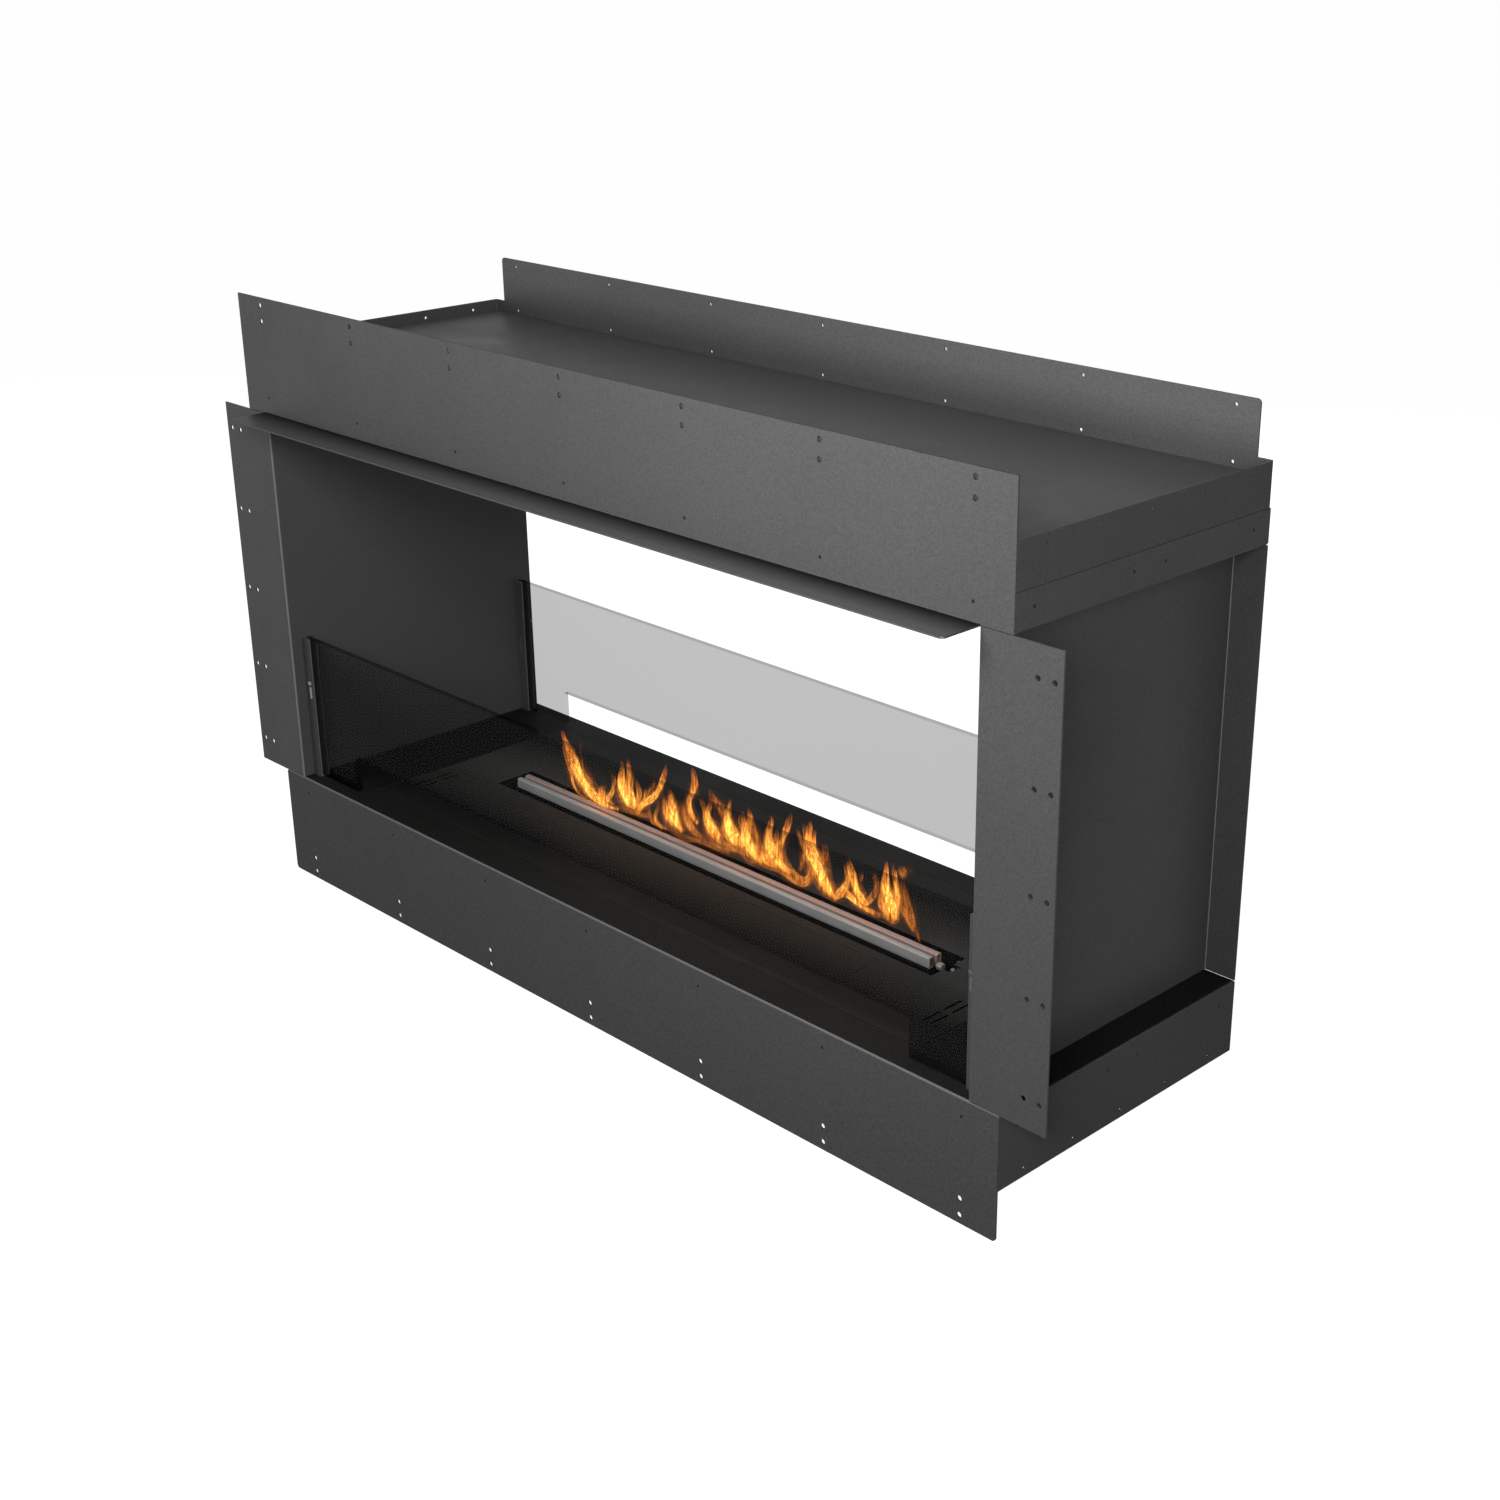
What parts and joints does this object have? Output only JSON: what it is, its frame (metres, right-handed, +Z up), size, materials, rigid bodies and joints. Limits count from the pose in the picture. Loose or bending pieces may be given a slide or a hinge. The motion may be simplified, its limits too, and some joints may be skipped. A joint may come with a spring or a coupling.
{
  "type": "double-sided fireplace",
  "caption": "Built-in see-through fireplace casing, open at front and rear, with two low notched glass panes and a slot burner along its floor.",
  "frame": {"origin": "middle of the base skirt's underside, on the plinth or frame that carries the casing; the apron hangs below it", "axes": "+X to the right along the width seen from the front, +Y from the front opening to the rear opening, +Z up"},
  "size_m": [1.42, 0.46, 0.806],
  "materials": {
    "casing_coat": "dark grey powder coat, satin with a fine grain",
    "deck_coat": "black heat-resistant coat, satin",
    "burner_body": "dark heat-resistant coat",
    "stainless": "brushed along its length",
    "copper": "heat-tinted copper tube",
    "rivet": "black coated rivets",
    "pane_glass": "clear toughened glass with a slight grey tint",
    "lining_rubber": "black heat-resistant lining",
    "insulation": "matt mineral board",
    "tank_steel": "brushed stainless sheet",
    "cap_plastic": "matt black plastic",
    "pipe": "drawn stainless tube",
    "pump_metal": "cast and turned aluminium",
    "control_plastic": "matt dark plastic",
    "lamp": "translucent green lens"
  },
  "bodies": {
    "casing": {"floor_tray": "casing_coat", "base_bottom_pan": "casing_coat", "ceiling_tray": "casing_coat", "upper_frame": "casing_coat", "top_plate": "casing_coat", "front_top_panel": "casing_coat", "left_side_wall": "casing_coat", "right_side_wall": "casing_coat", "front_left_channel": "casing_coat", "front_right_channel": "casing_coat", "rear_left_channel": "casing_coat", "rear_right_channel": "casing_coat", "burner_deck": "deck_coat", "deck_frame": "deck_coat", "hatch_frame": "deck_coat", "burner_trough": "deck_coat", "burner_housing": "burner_body", "front_burner_rail": "stainless", "rear_burner_rail": "stainless", "end_plug": "stainless", "glass_clips": "stainless", "clip_screws": "stainless", "igniter": "stainless", "flame_sensor": "stainless", "vapour_tube": "copper", "front_rivets": "rivet", "rear_rivets": "rivet", "left_rivets": "rivet", "right_rivets": "rivet", "glass_linings": "lining_rubber", "roof_insulation": "insulation", "fuel_tank": "tank_steel", "filler_neck": "tank_steel", "fuel_supply_pipe": "pipe", "fuel_suction_pipe": "pipe", "fuel_pump": "pump_metal", "control_box": "control_plastic", "control_panel": "control_plastic", "power_inlet": "control_plastic", "fan_frame": "control_plastic", "status_lamp": "lamp"},
    "front_pane": {"front_glass": "pane_glass"},
    "rear_pane": {"rear_glass": "pane_glass"},
    "hatch": {"service_hatch": "deck_coat"},
    "cap": {"filler_cap": "cap_plastic"},
    "rotor": {"fan_rotor": "control_plastic"},
    "button": {"standby_button": "cap_plastic"}
  },
  "joints": [
    {"name": "front_pane_lift", "type": "slide", "parent": "casing", "child": "front_pane", "axis": [0, 0, 1], "range_m": [0, 0.21]},
    {"name": "rear_pane_lift", "type": "slide", "parent": "casing", "child": "rear_pane", "axis": [0, 0, 1], "range_m": [0, 0.21]},
    {"name": "hatch_lift", "type": "slide", "parent": "casing", "child": "hatch", "axis": [0, 0, 1], "range_m": [0, 0.06]},
    {"name": "cap_turn", "type": "hinge", "parent": "casing", "child": "cap", "pos_m": [0.15, -0.1, 0.07], "axis": [0, 0, 1], "range_deg": [0, 90]},
    {"name": "fan_spin", "type": "hinge", "parent": "casing", "child": "rotor", "pos_m": [0.452, -0.0805, 0.08], "axis": [0, 0, 1], "continuous": true},
    {"name": "standby_press", "type": "slide", "parent": "casing", "child": "button", "axis": [0, 0, -1], "range_m": [0, 0.0015], "stiffness_N_per_m": 300, "springref_m": -0.002}
  ]
}
